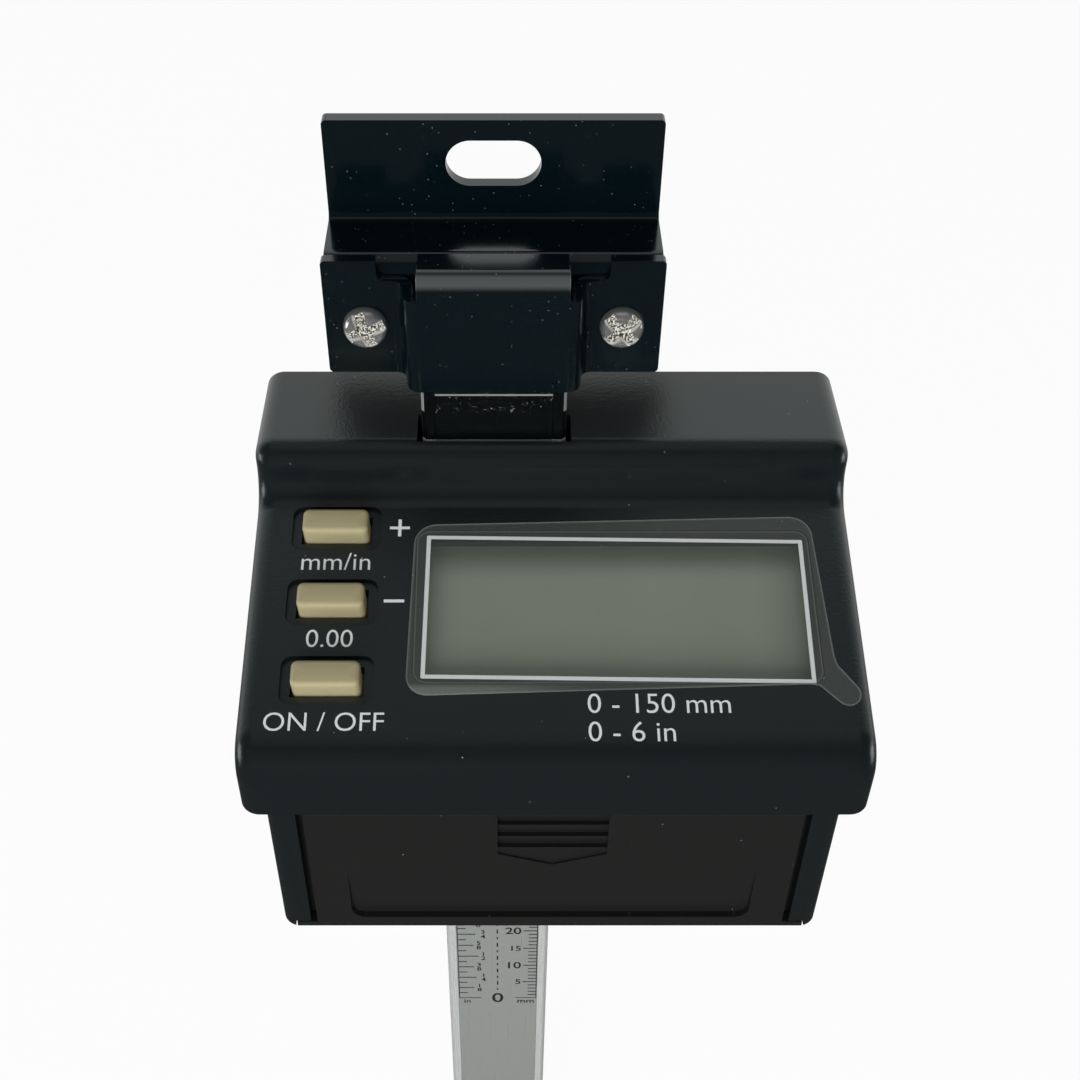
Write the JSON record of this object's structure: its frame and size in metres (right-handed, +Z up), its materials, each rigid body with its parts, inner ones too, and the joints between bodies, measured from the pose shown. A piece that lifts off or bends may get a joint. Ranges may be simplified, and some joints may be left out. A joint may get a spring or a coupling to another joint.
{
  "type": "digital readout gauge",
  "caption": "Digital readout head with sloped display, side buttons and battery door, sliding on a vertical steel scale held by a clamped slotted bracket.",
  "frame": {"origin": "middle of the bracket's slot, on the flange's rear face that meets the machine", "axes": "+Z up along the scale, +Y out of the bracket's rear face towards the machine, +X to the right of the display"},
  "size_m": [0.066, 0.0477, 0.2276],
  "materials": {
    "scale_steel": "brushed along its length",
    "scale_print": "satin metallised film with printed graduations",
    "bracket_black": "gloss black paint",
    "screw_zinc": "bright zinc plate",
    "case_black": "satin moulded black",
    "door_black": "satin moulded black",
    "lens_clear": "clear acrylic",
    "cling_clear": "clear peel-off film",
    "button_tan": "satin moulded tan",
    "circuit_board": "solder mask green",
    "connector_black": "moulded black",
    "lcd_glass": "grey-green reflective display",
    "carrier_grey": "moulded dark grey",
    "zebra_rubber": "striped silicone",
    "cell_jacket": "plain dark jacket",
    "contact_nickel": "nickel plate",
    "brass_bright": "machined",
    "slide_steel": "stamped stainless"
  },
  "bodies": {
    "scale": {"scale_beam": "scale_steel", "pattern_strip": "circuit_board", "scale_film": "scale_print", "rear_bracket": "bracket_black", "clamp_plate": "bracket_black", "bracket_screws": "screw_zinc"},
    "head": {"upper_case": "case_black", "lower_case": "case_black", "rear_cover": "case_black", "window_lens": "lens_clear", "window_film": "cling_clear", "main_board": "circuit_board", "sensor_board": "circuit_board", "board_connector": "connector_black", "board_screws": "screw_zinc", "lcd_panel": "lcd_glass", "lcd_carrier": "carrier_grey", "zebra_strips": "zebra_rubber", "tact_switches": "connector_black", "battery_cells": "cell_jacket", "contact_springs": "contact_nickel", "contact_plates": "contact_nickel", "mount_inserts": "brass_bright", "case_screws": "screw_zinc", "slide_screws": "screw_zinc", "slide_frame": "slide_steel", "gib_strip": "brass_bright", "gib_spring": "slide_steel"},
    "battery_door": {"battery_door": "door_black"},
    "button_units": {"button_units": "button_tan"},
    "button_zero": {"button_zero": "button_tan"},
    "button_power": {"button_power": "button_tan"}
  },
  "joints": [
    {"name": "head_slide", "type": "slide", "parent": "scale", "child": "head", "axis": [0, 0, 1], "range_m": [-0.146, 0.0064]},
    {"name": "battery_door_slide", "type": "slide", "parent": "head", "child": "battery_door", "axis": [0, 0, -1], "range_m": [0, 0.026]},
    {"name": "button_units_press", "type": "slide", "parent": "head", "child": "button_units", "axis": [0, 0.2656, -0.9641], "range_m": [0, 0.0007], "stiffness_N_per_m": 400},
    {"name": "button_zero_press", "type": "slide", "parent": "head", "child": "button_zero", "axis": [0, 0.2656, -0.9641], "range_m": [0, 0.0007], "stiffness_N_per_m": 400},
    {"name": "button_power_press", "type": "slide", "parent": "head", "child": "button_power", "axis": [0, 0.2656, -0.9641], "range_m": [0, 0.0007], "stiffness_N_per_m": 400}
  ]
}
